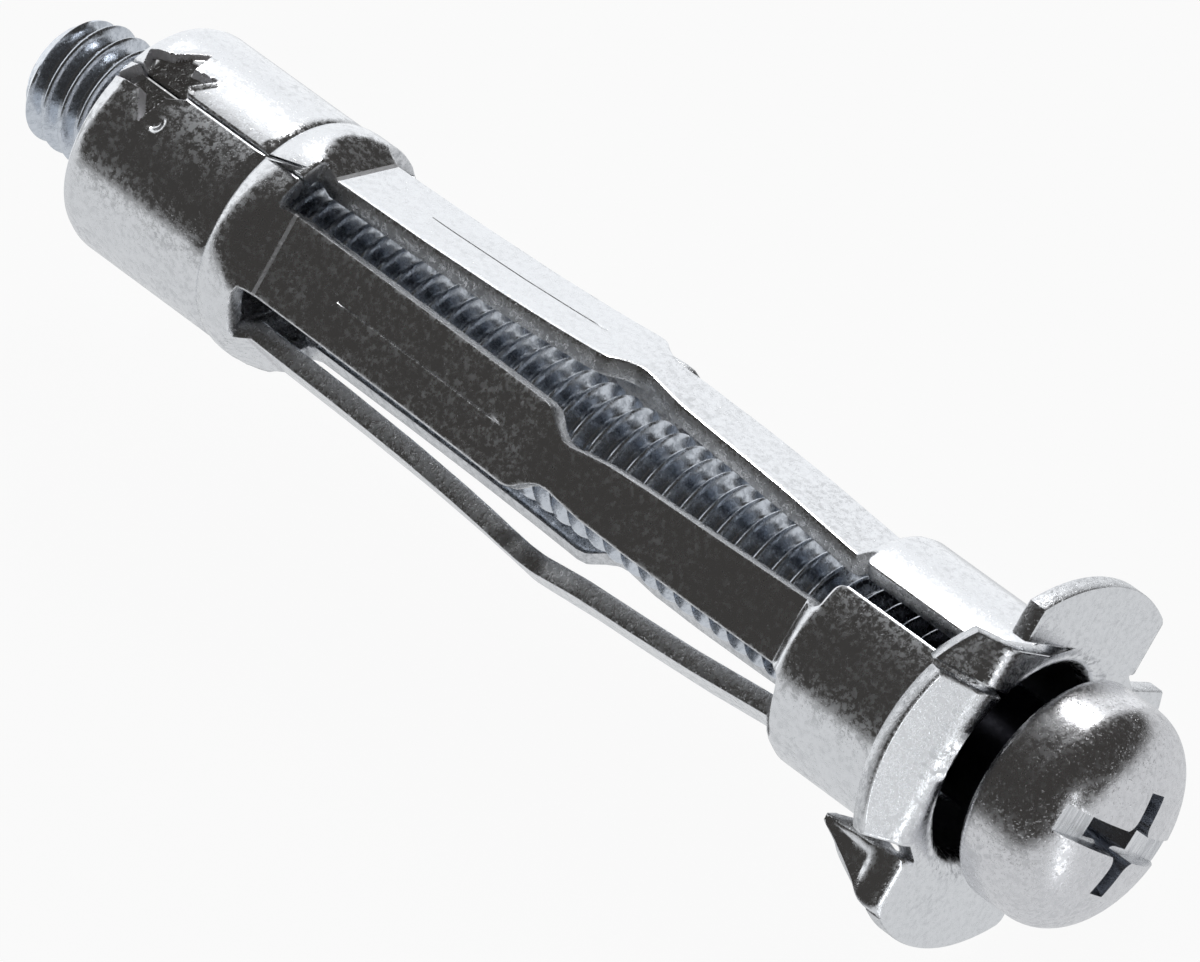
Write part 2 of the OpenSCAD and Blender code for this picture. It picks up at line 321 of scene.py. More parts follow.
# Tints and roughness run from clean to mottled; bumps are the heights of mottle and fleck in mm
def zincFinish(name, tints, rough, bumps, grain=(1, 1, 1), turn=0):
    material = bpy.data.materials.new(name)
    material.use_nodes = True
    tree = material.node_tree
    shader = tree.nodes["Principled BSDF"]
    shader.inputs["Metallic"].default_value = 1.0
    place = newNode(tree, "ShaderNodeTexCoord")
    stretch = newNode(tree, "ShaderNodeMapping", vector_type="TEXTURE")
    stretch.inputs["Rotation"].default_value = (math.radians(turn), 0, 0)
    stretch.inputs["Scale"].default_value = grain
    tree.links.new(place.outputs["Object"], stretch.inputs["Vector"])
    noises = {}
    for kind, (scale, detail, roughness) in plating["noises"].items():
        noise = newNode(tree, "ShaderNodeTexNoise")
        noise.inputs["Scale"].default_value = scale
        noise.inputs["Detail"].default_value = detail
        noise.inputs["Roughness"].default_value = roughness
        tree.links.new(stretch.outputs[0], noise.inputs["Vector"])
        noises[kind] = noise.outputs["Fac"]
    mottle = ranged(tree, noises["mottle"], plating["mottleRange"], 1)
    fleck = ranged(tree, noises["fleck"], plating["fleckRange"], 1)
    colour = newNode(tree, "ShaderNodeMix", data_type="RGBA")
    colour.inputs["A"].default_value = tints[0]
    colour.inputs["B"].default_value = tints[1]
    tree.links.new(combined(tree, "MULTIPLY", mottle, noises["cloud"]), colour.inputs["Factor"])
    tree.links.new(colour.outputs["Result"], shader.inputs["Base Color"])
    gloss = newNode(tree, "ShaderNodeMapRange")
    gloss.inputs["To Min"].default_value = rough[0]
    gloss.inputs["To Max"].default_value = rough[1]
    dulled = combined(tree, "ADD", noises["cloud"], plating["leastDull"])
    tree.links.new(combined(tree, "MULTIPLY", mottle, dulled), gloss.inputs["Value"])
    tree.links.new(gloss.outputs[0], shader.inputs["Roughness"])
    height = combined(tree, "ADD", combined(tree, "MULTIPLY", noises["mottle"], bumps[0]),
                      combined(tree, "MULTIPLY", fleck, bumps[1]))
    bump = newNode(tree, "ShaderNodeBump")
    bump.inputs["Strength"].default_value = 1.0
    bump.inputs["Distance"].default_value = mm
    tree.links.new(height, bump.inputs["Height"])
    tree.links.new(bump.outputs[0], shader.inputs["Normal"])
    return material


sheetFace = zincFinish("zincSheet", ((0.83, 0.84, 0.86, 1), (0.72, 0.73, 0.75, 1)),
                       (0.07, 0.46), (0.005, 0.003))
sheetEdge = zincFinish("punchedEdge", ((0.75, 0.76, 0.78, 1), (0.45, 0.46, 0.48, 1)),
                       (0.15, 0.5), (0.03, 0.012))
# painted shade: a near-black finish for the neck's bore, where the gap under the head lies in shade
boreShadeFinish = zincFinish("paintedShadeBore", ((0.1, 0.1, 0.11, 1), (0.05, 0.05, 0.06, 1)),
                       (0.3, 0.6), (0.006, 0.003))
# painted highlight: a brighter, rougher finish that makes the crease at the legs' roots and the star's
# rim read as bright lines
paintedHighlightFinish = zincFinish("paintedFoldHighlight", ((0.9, 0.9, 0.92, 1), (0.7, 0.7, 0.72, 1)),
                       (0.55, 0.75), (0.03, 0.03))
# painted shade: a darker, smoother finish for the star's floor
paintedShadeStarFloor = zincFinish("paintedShadeStarFloor", ((0.6, 0.6, 0.6, 1), (0.45, 0.45, 0.45, 1)),
                          (0.06, 0.2), (0.003, 0.002))
threadSteel = zincFinish("rolledThread", ((0.72, 0.76, 0.82, 1), (0.5, 0.54, 0.6, 1)),
                         (0.12, 0.4), (0.004, 0.003))
headSteel = zincFinish("satinHead", ((0.8, 0.8, 0.82, 1), (0.68, 0.68, 0.7, 1)),
                       (0.16, 0.42), (0.009, 0.009))
slotFloor = zincFinish("drawnSlot", ((0.85, 0.86, 0.88, 1), (0.5, 0.51, 0.54, 1)),
                       (0.15, 0.4), (0.03, 0.004), (1, 0.6, 9), 130)
# painted shade: the deep cross recess takes a much darker colour than the head
recessShadeFinish = zincFinish("paintedShadeRecess", ((0.42, 0.44, 0.48, 1), (0.15, 0.16, 0.19, 1)),
                         (0.12, 0.35), (0.02, 0.004), (5, 1, 1))
# painted shade: a near-black finish for the shank seen in the gap under the head
shankShadeFinish = zincFinish("paintedShadeShank", ((0.05, 0.05, 0.06, 1), (0.02, 0.02, 0.03, 1)),
                        (0.3, 0.5), (0.004, 0.003))
nutSteel = zincFinish("turnedNut", ((0.7, 0.7, 0.72, 1), (0.55, 0.55, 0.57, 1)),
                      (0.15, 0.4), (0.004, 0.003))
print("finishes ready")


# The sleeve: a flat blank is punched, bent and rolled up
sleeve = {
    "thickness": 0.9,  # lengths in mm, places along X from the wall's face
    "firstLeg": 135,  # directions from +Y towards +Z
    "legCount": 5,
    "collarEnd": -48.98,
    "collarRadius": 5.29,
    "endTuck": 0.2,
    "tuckLength": 0.7,
    "groove": -40.95,
    "grooveDepth": 0.14,
    "grooveReach": 0.35,
    "shoulderRise": 0.9,
    "shoulderRadius": 5.42,
    "slotTail": -38.9,
    "apex": -39.8,
    "crease": -38.15,
    "slotHead": -7.9,
    "neckRadius": 5.34,
    "neckFoot": -8.75,  # where the legs start to round into the neck
    "neckRound": -7.75,  # and where they are round
    "neckTail": -7.6,
    "neckEnd": -8.4,  # where the slots' sides are measured for the neck
    "turnAtSeam": -1.7,  # from here on the neck's columns turn to meet those of the petals
    "turnElsewhere": -4,
    "turnEnd": -0.25,
    "mouthBend": 0.62,
    "legHeights": [(-38.15, 4.55), (-33, 4.67), (-29, 4.83), (-26, 5.02), (-24.2, 5.17),
                   (-22.9, 5.3), (-22.2, 5.35), (-21.5, 5.34), (-20.6, 5.26), (-19, 5.12),
                   (-16, 4.98), (-13, 4.8), (-10, 4.52), (-8.9, 4.42)],
    "legWidths": [(-38.15, 1.9), (-30, 1.92), (-23.2, 1.95), (-22.75, 1.86), (-22.2, 1.38),
                  (-21.7, 1.07), (-21.2, 1.03), (-20.6, 1.12), (-19.4, 1.28), (-17, 1.38),
                  (-12, 1.45), (-8.4, 1.5)],
    "scoreFrom": -34.1,
    "scoreTo": -24.5,
    "scoreDepth": 0.05,
    "scoreHalf": 0.004,
    "scoreDot": 0.4,
    "middle": -25,  # parts the collar's seam from the neck's
    "neckSeam": (101.5, 88.5),  # directions of the sheet's first and last edge there
    "neckCorner": 0.55,
    "cornerTo": -6.6,  # the rows are squeezed up to here round the neck's corners
    "collarSeam": (98.8, 98.2),
    "boreMouth": -0.3,
    "creaseHalf": 0.07,
    "edgeRound": 0.13,
}

flange = {
    "ringRadius": 6.3,
    "clawRing": 6.1,
    "tabRing": 5.6,
    "petalRadius": 8.3,
    "backRadius": 8.26,
    "wingRadius": 8.35,
    "wingHalf": 4.85,
    "narrowHalf": 4.22,
    "wideHalf": 4.97,
    "cut": 0.36,
    "seamLine": -2.9,
    "seamGap": 0.18,
    "seamFlare": 0.15,
    "tabFlare": 0.1,
    "bendAt": 5.15,
    "bendLength": 0.6,
    "clawFold": 4.05,  # from the wings' middle line
    "clawAngle": 49.4,
    "petalEnd": 40,
    "petalBend": 25,
    "tabBend": 46,
}

crimp = {
    "place": -47.2,  # of the stars' middles
    "directions": (96.4, 276.4),
    "floorHeight": 4.7,  # of the star's flat floor above the axis
    "floorDirection": 105,
    "leastDepth": 0.12,
    "slope": 0.13,
    "lip": 0.05,
    "lipWidth": 0.3,
    "points": [(2.1, 34), (2.15, 78), (1.65, 158), (2.15, 212), (2.2, 283), (1.55, 347)],  # reach, turn
    "waist": 1.12,
    "reach": 3,
    "fineReach": 2.5,
    "fineTurn": 27,
    "dent": (1.2, -1.84),  # a round mark beside each star: along and round from its middle
    "dentRadius": 0.5,
    "dentFlat": 0.12,
    "dentDepth": 0.2,
}

sheetColumns = {
    "legShares": [0, 0.02, 0.11, 0.2, 0.31, 0.42, 0.53, 0.64, 0.75, 0.86, 1],  # middle to edge
    "slotColumns": 10,
    "seamColumns": 14,  # in each half of the slot that the seam divides
    "seamFirst": 0.13,  # the first of them is wide enough for the sheet's rounded edge
}

half = sleeve["thickness"] / 2
legPitch = 360 / sleeve["legCount"]

# Where the sheet's rows lie: places along X up to 0, then round the mouth (to 1), across the
# flange's ring (to 2) and out to the petals' edges (to 3)
rowPlaces = (
    [sleeve["collarEnd"]]
    + steps(sleeve["collarEnd"] + 0.18, -44.8, 30)
    + steps(-44.8, -41.3, 11)
    + [-41.3, -41.1, sleeve["groove"], -40.8, -40.6, -40.3, -40.05, sleeve["apex"], -39.5, -39.2]
    + steps(sleeve["slotTail"], sleeve["crease"] - 0.1, 4)
    + [sleeve["crease"] - 0.1, sleeve["crease"] + 0.02, sleeve["crease"] + 0.14]
    + steps(-37.7, -24.4, 28)
    + steps(-24.4, -19.8, 23)
    + steps(-19.8, -9.4, 24)
    + steps(-9.4, sleeve["slotHead"], 10)
    + steps(sleeve["slotHead"], -7.4, 4)
    + steps(-7.4, -0.17, 28)
    + steps(0.0, 1.0, 6)
    + steps(1.0, 2.0, 3)
    + steps(2.0, 3.0, 12)
    + [3.0]
)


# Each column line's (kind, number, share across it); a leg owns the lines of both its edges
def legColumns():
    across = [-share for share in reversed(sheetColumns["legShares"])] + sheetColumns["legShares"][1:]
    between = [i / sheetColumns["slotColumns"] for i in range(1, sheetColumns["slotColumns"])]
    seamLast = sheetColumns["seamColumns"] - 1
    nearSeam = [mixed(sheetColumns["seamFirst"], 1, i / seamLast) / 2 for i in range(seamLast)]
    listed = [("slot", 0, 0.5)] + [("slot", 0, 0.5 + share) for share in nearSeam]
    for leg in range(sleeve["legCount"]):
        listed += [("leg", leg, share) for share in across]
        if leg < sleeve["legCount"] - 1:
            listed += [("slot", leg + 1, share) for share in between]
    last = sleeve["legCount"]
    listed += [("slot", last, 0.5 - share) for share in reversed(nearSeam)]
    return listed + [("slot", last, 0.5)]


legLines = legColumns()
columnTotal = len(legLines) - 1


def legWidth(x):
    return along(sleeve["legWidths"], x)


def ringAngle(column, x, radius):
    kind, number, share = legLines[column]
    if kind == "leg":
        off = math.degrees(math.asin(share * legWidth(x) / radius))
        return sleeve["firstLeg"] + number * legPitch + off
    reachAngle = math.degrees(math.asin(legWidth(x) / radius))
    seam = sleeve["collarSeam"] if x < sleeve["middle"] else sleeve["neckSeam"]
    start = sleeve["firstLeg"] + (number - 1) * legPitch + reachAngle
    end = sleeve["firstLeg"] + number * legPitch - reachAngle
    if number == 0:
        return mixed(seam[0], end, 2 * share - 1)
    if number == sleeve["legCount"]:
        return mixed(start, seam[1] + 360, 2 * share)
    return mixed(start, end, share)


def ringPoint(x, radius, angle):
    a = math.radians(angle)
    return Vector((x, radius * math.cos(a), radius * math.sin(a)))


def legPoint(column, x, height):
    number, share = legLines[column][1:]
    a = math.radians(sleeve["firstLeg"] + number * legPitch)
    s = share * legWidth(x)
    return Vector((x, height * math.cos(a) - s * math.sin(a),
                   height * math.sin(a) + s * math.cos(a)))


def collarRadiusAt(x):
    end, groove = sleeve["collarEnd"], sleeve["groove"]
    tuck = sleeve["endTuck"] * (1 - eased(end, end + sleeve["tuckLength"], x))
    dip = sleeve["grooveDepth"] * max(0, 1 - abs(x - groove) / sleeve["grooveReach"])
    risen = eased(groove, groove + sleeve["shoulderRise"], x)
    return mixed(sleeve["collarRadius"], sleeve["shoulderRadius"], risen) - tuck - dip


def starOutline():
    corners = []
    ring = crimp["points"]
    turns = [turn for reach, turn in ring[1:]] + [ring[0][1] + 360]
    for (reach, turn), nextTurn in zip(ring, turns):
        corners.append((reach * math.cos(math.radians(turn)), reach * math.sin(math.radians(turn))))
        middle = math.radians((turn + nextTurn) / 2)
        corners.append((crimp["waist"] * math.cos(middle), crimp["waist"] * math.sin(middle)))
    return corners


starCorners = starOutline()


def starInset(u, v):  # how far inside the star's outline a point lies
    inside, nearest = False, 99
    for (x0, y0), (x1, y1) in zip(starCorners, starCorners[1:] + starCorners[:1]):
        if (y0 > v) != (y1 > v) and u < (x1 - x0) * (v - y0) / (y1 - y0) + x0:
            inside = not inside
        dx, dy = x1 - x0, y1 - y0
        t = min(max(((u - x0) * dx + (v - y0) * dy) / (dx * dx + dy * dy), 0), 1)
        nearest = min(nearest, math.hypot(u - x0 - t * dx, v - y0 - t * dy))
    return nearest if inside else -nearest


def crimpPlace(x, angle, radius, direction):  # from a crimp's middle: along, round, and the turn
    turn = (angle - direction + 180) % 360 - 180
    return x - crimp["place"], -radius * math.radians(turn), turn


def crimpDepth(x, angle, radius):
    depth = 0
    for direction in crimp["directions"]:
        u, v, turn = crimpPlace(x, angle, radius, direction)
        if abs(u) < crimp["reach"] and abs(v) < crimp["reach"]:
            inset = starInset(u, v)
            tilt = math.radians(turn + crimp["directions"][0] - crimp["floorDirection"])
            floor = max(radius - crimp["floorHeight"] / math.cos(tilt), crimp["leastDepth"])
            fromRim = abs(inset + crimp["slope"] / 2)
            lip = crimp["lip"] * max(0, 1 - fromRim / crimp["lipWidth"])
            depth += mixed(-lip, floor, eased(-crimp["slope"] / 2, crimp["slope"] / 2, inset))
            reach = math.hypot(u - crimp["dent"][0], v - crimp["dent"][1])
            depth += crimp["dentDepth"] * (1 - eased(crimp["dentFlat"], crimp["dentRadius"], reach))
    return depth


def tailPoint(column, x):
    radius = collarRadiusAt(x) - half
    if legLines[column][0] == "leg" and x > sleeve["apex"] - 0.5:
        s = legLines[column][2] * legWidth(x)
        facet = mixed(sleeve["shoulderRadius"], along(sleeve["legHeights"], x),
                      (x - sleeve["apex"]) / (sleeve["crease"] - sleeve["apex"])) - half
        return legPoint(column, x, min(math.sqrt(radius ** 2 - s ** 2), facet))
    return ringPoint(x, radius, ringAngle(column, x, radius))


def middlePoint(column, x):
    height = along(sleeve["legHeights"], x) - half
    share = legLines[column][2]
    if x > sleeve["neckFoot"]:
        radius = sleeve["neckRadius"] - half
        ring = math.sqrt(radius ** 2 - (share * legWidth(x)) ** 2)
        height = mixed(height, ring, eased(sleeve["neckFoot"], sleeve["neckRound"], x))
    return legPoint(column, x, height)


def edgeAngle(offset, radius):
    return math.degrees(math.asin(offset / radius))


def line(offset):  # a petal's edge that runs parallel to its middle line
    return lambda radius: edgeAngle(offset, radius)


def fixedAngle(angle):
    return lambda radius: angle


def arcPoints(radius, start, end, count=24):
    turns = [math.radians(mixed(start, end, i / count)) for i in range(count + 1)]
    return [Vector((radius * math.cos(turn), radius * math.sin(turn))) for turn in turns]


def wingOutline(turn):  # a wing's arc and the straight edge that faces the next petal's wide side
    clawCorner = 90 - edgeAngle(flange["clawFold"], flange["wingRadius"])
    farCorner = 90 + edgeAngle(flange["wingHalf"], flange["wingRadius"])
    outline = arcPoints(flange["wingRadius"], clawCorner, farCorner)
    outline += [Vector((-flange["wingHalf"], flange["wideHalf"] + flange["cut"]))]
    spin = Matrix.Rotation(math.radians(turn), 2)
    return [spin @ p for p in outline]


def petals():  # each petal's columns, edges, ring, outline and bend; the cuts between have columns only
    f = flange
    slit = f["wideHalf"] + f["cut"]
    wingEnd = 90 + math.degrees(math.acos(slit / f["ringRadius"]))
    tabSlit = 270 + math.degrees(math.acos(slit / f["tabRing"]))
    narrow = edgeAngle(f["narrowHalf"], f["petalRadius"])
    tabLine = f["seamLine"] - f["seamGap"]
    return [
        {"count": 39, "edges": (line(f["seamLine"]), fixedAngle(f["petalEnd"])),
         "ring": f["ringRadius"], "bend": f["petalBend"],
         "outline": arcPoints(f["petalRadius"],
                              edgeAngle(f["seamLine"] - f["seamFlare"], f["petalRadius"]), narrow)},
        {"count": 1},
        {"count": 33, "edges": (fixedAngle(f["clawAngle"]), fixedAngle(wingEnd)),
         "ring": f["ringRadius"], "bend": 0, "outline": wingOutline(0)},
        {"count": 2},
        {"count": 38, "edges": (fixedAngle(180 - edgeAngle(f["wideHalf"], f["ringRadius"])),
                                fixedAngle(180 + f["petalEnd"])),
         "ring": f["ringRadius"], "bend": 0,
         "outline": arcPoints(f["backRadius"], 180 - edgeAngle(f["wideHalf"], f["backRadius"]),
                              180 + edgeAngle(f["narrowHalf"], f["backRadius"]))},
        {"count": 1},
        {"count": 29, "edges": (fixedAngle(180 + f["clawAngle"]), fixedAngle(tabSlit)),
         "ring": f["tabRing"], "bend": 0, "outline": wingOutline(180)},
        {"count": 3},
        {"count": 22, "edges": (fixedAngle(360 - edgeAngle(f["wideHalf"], f["tabRing"])),
                                lambda radius: 360 + edgeAngle(tabLine, radius)),
         "ring": f["tabRing"], "bend": f["tabBend"],
         "outline": arcPoints(f["petalRadius"], 360 - edgeAngle(f["wideHalf"], f["petalRadius"]),
                              360 + edgeAngle(tabLine - f["tabFlare"], f["petalRadius"]))},
    ]


petalList = petals()


def outlineMeasure(outline):
    total = [0]
    for a, b in zip(outline, outline[1:]):
        total.append(total[-1] + (b - a).length)
    return total


def onOutline(outline, share):
    total = outlineMeasure(outline)
    want = share * total[-1]
    for i, (start, end) in enumerate(zip(total, total[1:])):
        if want <= end + 1e-9:
            return outline[i].lerp(outline[i + 1], (want - start) / (end - start))
    return outline[-1]


def petalColumns():  # a petal owns the column lines of both its edges, a cut only those between
    listed = []
    for number, petal in enumerate(petalList):
        own = range(petal["count"] + 1) if "outline" in petal else range(1, petal["count"])
        listed += [(number, i / petal["count"]) for i in own]
    return listed


petalLines = petalColumns()
assert len(petalLines) == len(legLines), (len(petalLines), len(legLines))


def petalAngle(column, radius):
    number, share = petalLines[column]
    petal = petalList[number]
    if "edges" in petal:
        return mixed(petal["edges"][0](radius), petal["edges"][1](radius), share)
    before, after = petalList[number - 1], petalList[number + 1]
    return mixed(before["edges"][1](radius), after["edges"][0](radius), share)


def petalRing(column):
    number, share = petalLines[column]
    petal = petalList[number]
    if number in (2, 6):  # the wings, whose ring is narrower under the claw and beside the tab
        ring = mixed(flange["clawRing"], flange["ringRadius"], eased(0, 0.12, share))
        return mixed(ring, flange["tabRing"], eased(0.6, 1, share)) if number == 6 else ring
    if "ring" in petal:
        return petal["ring"]
    return min(petalList[number - 1]["ring"], petalList[number + 1]["ring"])


def folded(flat, bend):  # bends the flat point (across, along) down past the fold line
    down = 0
    across = flat.x
    if bend and across > flange["bendAt"]:
        past = across - flange["bendAt"]
        soft = min(past / flange["bendLength"], 1)
        turn = math.radians(bend) * (0.5 + 0.5 * soft)
        across = flange["bendAt"] + past * math.cos(turn)
        down = past * math.sin(turn)
    return across, down


def planPoint(flat, bend):
    across, down = folded(flat, bend)
    a = math.radians(sleeve["firstLeg"])
    y = across * math.cos(a) - flat.y * math.sin(a)
    z = across * math.sin(a) + flat.y * math.cos(a)
    return Vector((half - down, y, z))


def flangePoint(column, v):  # v: 0 to 1 round the mouth, to 2 across the ring, to 3 out to the edge
    bendRadius = sleeve["mouthBend"]
    neckLine = sleeve["neckRadius"] - half
    number, share = petalLines[column]
    petal = petalList[number]
    if v < 1:
        a = math.radians(90 * v)
        radius = neckLine + bendRadius * (1 - math.cos(a))
        x = half - bendRadius * (1 - math.sin(a))
        return ringPoint(x, radius, sleeve["firstLeg"] + petalAngle(column, radius))
    radius = mixed(neckLine + bendRadius, petalRing(column), min(v - 1, 1))
    angle = math.radians(petalAngle(column, radius))
    flat = Vector((radius * math.cos(angle), radius * math.sin(angle)))
    if v > 2 and "outline" in petal:
        flat = flat.lerp(onOutline(petal["outline"], share), v - 2)
    return planPoint(flat, petal.get("bend", 0))


def neckPoint(column, x):
    radius = sleeve["neckRadius"] - half
    angle = ringAngle(column, min(x, sleeve["neckEnd"]), radius)
    wanted = sleeve["firstLeg"] + petalAngle(column, radius)
    fromSeam = eased(0, sheetColumns["seamColumns"], min(column, columnTotal - column))
    start = mixed(sleeve["turnAtSeam"], sleeve["turnElsewhere"], fromSeam)
    return ringPoint(x, radius, mixed(angle, wanted, eased(start, sleeve["turnEnd"], x)))


def roundedCorner(column, place):  # the neck's tail corners at the seam
    start, end = sleeve["slotHead"], sleeve["cornerTo"]
    if not start <= place < end:
        return place
    outer, radius = sleeve["neckCorner"], sleeve["neckRadius"]
    seamColumn = 0 if column < columnTotal / 2 else columnTotal
    turn = ringAngle(column, start, radius) - ringAngle(seamColumn, start, radius)
    across = radius * math.radians(abs(turn))
    if across >= outer:
        return place
    cut = outer - math.sqrt(outer ** 2 - (outer - across) ** 2)
    return mixed(start + cut, end, (place - start) / (end - start))


def sheetPoint(column, place):
    kind = legLines[column][0]
    if kind == "slot":
        place = roundedCorner(column, place)
    if place >= 0:
        return flangePoint(column, place)
    if place > sleeve["neckTail"] or (place >= sleeve["slotHead"] and kind == "slot"):
        return neckPoint(column, place)
    if place > sleeve["crease"] and kind == "leg":
        return middlePoint(column, place)
    return tailPoint(column, place)


def punchedOut(column, place):  # column and place of a face's middle
    left = math.floor(column)
    if sleeve["slotTail"] < place < sleeve["slotHead"]:
        return "slot" in (legLines[left][0], legLines[left + 1][0])
    if place > 2:
        number = petalLines[left][0]
        return number != petalLines[left + 1][0] or "outline" not in petalList[number]
    return False


claw = {
    "middle": 4.4,  # distance of its sheet's middle from the wings' middle line
    "foldRadius": 0.5,
    "lap": 0.3,
    "rimGap": 0.02,
    "sheetTop": 0.44,
    "inner": [(-3.15, 4.9), (-1.7, 4.65), (0.9, 4.65)],
    "outer": [(-3.15, 5.25), (-2.1, 6.0), (-0.8, 6.7), (0.0, 7.05), (0.45, 7.2)],
    "dish": 0.28,  # how far its middle is hollowed
    "dishTail": (-3.2, -1.5),
    "dishHead": (-0.7, 0),
    "rows": 16,
    "foldRows": 4,
    "across": 6,
    "merge": 0.05,
}


def clawRows():  # (place along X, distance from the wings' middle line) down the claw's middle surface
    foldFoot = claw["sheetTop"] - claw["foldRadius"]
    tip = claw["inner"][0][0]
    rows = [(x, claw["middle"]) for x in steps(tip, foldFoot, claw["rows"])]
    for i in range(claw["foldRows"] + 1):
        turn = math.radians(90 * i / claw["foldRows"])
        rows.append((foldFoot + claw["foldRadius"] * math.sin(turn),
                     claw["middle"] - claw["foldRadius"] * (1 - math.cos(turn))))
    return rows + [(claw["sheetTop"], claw["middle"] - claw["foldRadius"] - claw["lap"])]


def clawPoint(x, distance, share, turn):
    rim = math.sqrt((flange["wingRadius"] - claw["rimGap"]) ** 2 - distance ** 2)
    width = mixed(along(claw["inner"], x), min(along(claw["outer"], x), rim), share)
    if distance < claw["middle"] - 0.8 * claw["foldRadius"]:
        width = mixed(claw["inner"][-1][1], rim, share)
    hollow = (1 - (2 * share - 1) ** 2) * eased(*claw["dishTail"], x)
    hollow *= 1 - eased(*claw["dishHead"], x)
    flat = Matrix.Rotation(math.radians(turn), 2) @ Vector((distance - claw["dish"] * hollow, width))
    a = math.radians(sleeve["firstLeg"])
    return Vector((x, flat.x * math.cos(a) - flat.y * math.sin(a),
                   flat.x * math.sin(a) + flat.y * math.cos(a)))


sheetSlots = {"rim": 1, "boreShade": 2, "paintedHighlight": 3, "floor": 4}  # places in the sleeve's list of materials


def crimpTurn(x, y, z):  # how far round the collar a point lies from the nearer crimp
    angle = math.degrees(math.atan2(z, y))
    return min(abs(crimpPlace(x, angle, 1, direction)[2]) for direction in crimp["directions"])


def pressStar(obj):  # dents both faces of the collar, so that its sheet keeps its thickness
    mesh = obj.data
    deselectFaces(obj)
    fineTo = crimp["place"] + crimp["fineReach"]
    for face in mesh.polygons:
        x, y, z = face.center / mm
        outwards = face.normal.y * y + face.normal.z * z
        face.select = x < fineTo and outwards > 0 and crimpTurn(x, y, z) < crimp["fineTurn"]
    bpy.ops.object.mode_set(mode="EDIT")
    bpy.ops.mesh.subdivide(number_cuts=2)
    bpy.ops.object.mode_set(mode="OBJECT")
    for vertex in mesh.vertices:
        x, y, z = vertex.co / mm
        if x < crimp["place"] + crimp["reach"]:
            radius = math.hypot(y, z)
            depth = crimpDepth(x, math.degrees(math.atan2(z, y)), sleeve["collarRadius"])
            vertex.co.y -= y / radius * depth * mm
            vertex.co.z -= z / radius * depth * mm
    for face in mesh.polygons:
        x, y, z = face.center / mm
        if x > fineTo or face.normal.y * y + face.normal.z * z < 0:
            continue
        angle = math.degrees(math.atan2(z, y))
        for direction in crimp["directions"]:
            u, v, turn = crimpPlace(x, angle, sleeve["collarRadius"], direction)
            inset = starInset(u, v) if abs(turn) < crimp["fineTurn"] else -1
            # the star's floor takes the darker painted-shade finish and its sloped rim the painted
            # highlight
            if inset > crimp["slope"] / 2:
                face.material_index = sheetSlots["floor"]
            elif inset > -crimp["slope"] * 0.6:
                face.material_index = sheetSlots["paintedHighlight"]


def shadeFolds(mesh):  # paints shade on the neck's bore with a near-black finish and a highlight on the crease at the legs' roots
    for face in mesh.polygons:
        x, y, z = face.center / mm
        radius = math.hypot(y, z)
        outwards = (face.normal.y * y + face.normal.z * z) / radius
        inBore = sleeve["slotHead"] < x < sleeve["boreMouth"] and radius < sleeve["neckRadius"] - half
        if outwards < -0.5 and inBore:
            face.material_index = sheetSlots["boreShade"]
        elif outwards > 0.5 and abs(x - sleeve["crease"] - 0.02) < sleeve["creaseHalf"]:
            face.material_index = sheetSlots["paintedHighlight"]


def thickened(piece):  # the cut rims take the next material
    applied(piece, "SOLIDIFY", "sheet", thickness=sleeve["thickness"] * mm, offset=0,
            use_even_offset=True, use_quality_normals=True, material_offset_rim=sheetSlots["rim"])


def roundEdges(piece):  # only where a face of the sheet meets its cut rim
    mesh = piece.data
    rims = {}
    for face in mesh.polygons:
        for edge in face.edge_keys:
            rims.setdefault(edge, set()).add(face.material_index)
    weights = mesh.attributes.new("bevel_weight_edge", "FLOAT", "EDGE")
    for edge in mesh.edges:
        weights.data[edge.index].value = 1.0 if len(rims.get(edge.key, ())) == 2 else 0.0
    applied(piece, "BEVEL", "rounded edges", width=sleeve["edgeRound"] * mm, segments=2,
            limit_method="WEIGHT", use_clamp_overlap=False)


def buildClaw(turn):
    places = clawRows()
    deselectAll()
    rows = len(places) - 1
    bpy.ops.mesh.primitive_grid_add(x_subdivisions=claw["across"], y_subdivisions=rows, size=1)
    plate = bpy.context.object
    plate.name = "claw"
    for vertex in plate.data.vertices:
        x, distance = places[round((vertex.co.y + 0.5) * rows)]
        vertex.co = clawPoint(x, distance, vertex.co.x + 0.5, turn) * mm
    plate.data.materials.append(sheetFace)
    plate.data.materials.append(sheetEdge)
    thickened(plate)
    turnOutwards(plate, claw["merge"])  # the fold's inner face is too tight for the bevel
    roundEdges(plate)
    return plate


def scoreLegs(mesh):  # a fine line in the outer face of each leg, deeper at its two ends
    for vertex in mesh.vertices:
        x = vertex.co.x / mm
        if not sleeve["scoreFrom"] < x < sleeve["scoreTo"]:
            continue
        for leg in range(sleeve["legCount"]):
            a = math.radians(sleeve["firstLeg"] + leg * legPitch)
            height = vertex.co.y * math.cos(a) + vertex.co.z * math.sin(a)
            across = vertex.co.z * math.cos(a) - vertex.co.y * math.sin(a)
            outer = height > (along(sleeve["legHeights"], x) - half) * mm
            if outer and abs(across) < sleeve["scoreHalf"] * mm:
                end = min(x - sleeve["scoreFrom"], sleeve["scoreTo"] - x)
                depth = sleeve["scoreDepth"] * (2 if end < sleeve["scoreDot"] else 1) * mm
                vertex.co -= Vector((0, math.cos(a), math.sin(a))) * depth


